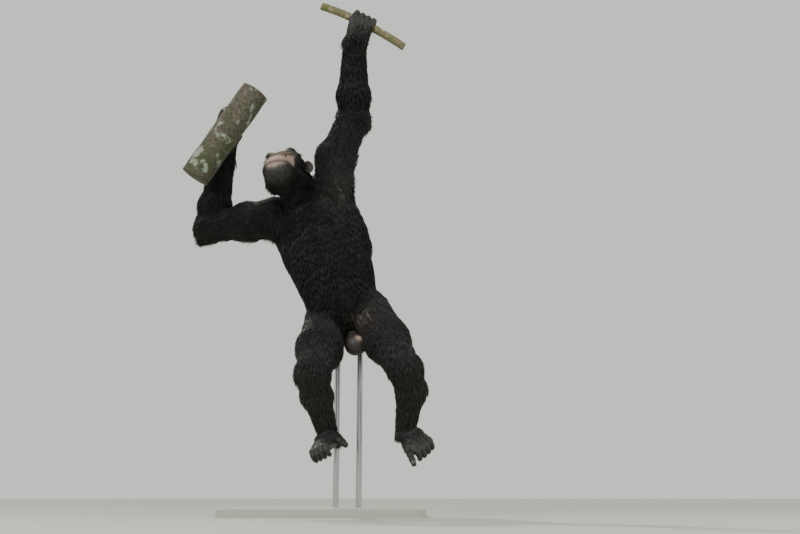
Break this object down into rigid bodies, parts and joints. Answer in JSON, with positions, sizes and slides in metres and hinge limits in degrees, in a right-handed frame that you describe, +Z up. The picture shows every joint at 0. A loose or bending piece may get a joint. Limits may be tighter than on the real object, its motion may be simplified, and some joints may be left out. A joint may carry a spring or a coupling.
{
  "type": "chimpanzee museum model",
  "caption": "Still life-size ape model with black coat, hanging by one raised arm from a cut vine, the other hand on a cut trunk, legs bent, on a flat base with steel rods",
  "frame": {"origin": "centre of the underside of the stand's base", "axes": "+Z up the height of the animal, which faces -Y and has its left side towards +X"},
  "size_m": [0.88, 0.4707, 1.7715],
  "materials": {
    "coat": "coarse black hair, matt with a soft sheen",
    "dark_skin": "bare dark skin of hands and feet, finely wrinkled",
    "face": "bare face skin, pinkish brown round the mouth, in black hair",
    "pale_skin": "bare tan and pinkish skin, slightly satin",
    "eye": "polished dark brown eye",
    "bark": "rough bark, with lichen on the trunk",
    "steel": "plain satin steel rod",
    "board": "plain pale matt paint"
  },
  "bodies": {
    "root": {"chest": "coat", "abdomen": "coat", "pelvis": "coat", "perch_vine": "bark", "perch_trunk": "bark", "neck": "coat", "head": "face", "eye_left": "eye", "ear_left": "pale_skin", "eye_right": "eye", "ear_right": "pale_skin", "upper_arm_left": "coat", "forearm_left": "coat", "thigh_left": "coat", "shank_left": "coat", "upper_arm_right": "coat", "forearm_right": "coat", "thigh_right": "coat", "shank_right": "coat", "hand_left": "dark_skin", "finger_left_1": "dark_skin", "finger_left_2": "dark_skin", "finger_left_3": "dark_skin", "finger_left_4": "dark_skin", "thumb_left": "dark_skin", "hand_right": "dark_skin", "finger_right_1": "dark_skin", "finger_right_2": "dark_skin", "finger_right_3": "dark_skin", "finger_right_4": "dark_skin", "thumb_right": "dark_skin", "foot_left": "dark_skin", "toe_left_1": "dark_skin", "toe_left_2": "dark_skin", "toe_left_3": "dark_skin", "toe_left_4": "dark_skin", "hallux_left": "dark_skin", "foot_right": "dark_skin", "toe_right_1": "dark_skin", "toe_right_2": "dark_skin", "toe_right_3": "dark_skin", "toe_right_4": "dark_skin", "hallux_right": "dark_skin", "scrotum": "pale_skin", "stand_base": "board", "stand_rod_left": "steel", "stand_rod_right": "steel"}
  },
  "joints": []
}
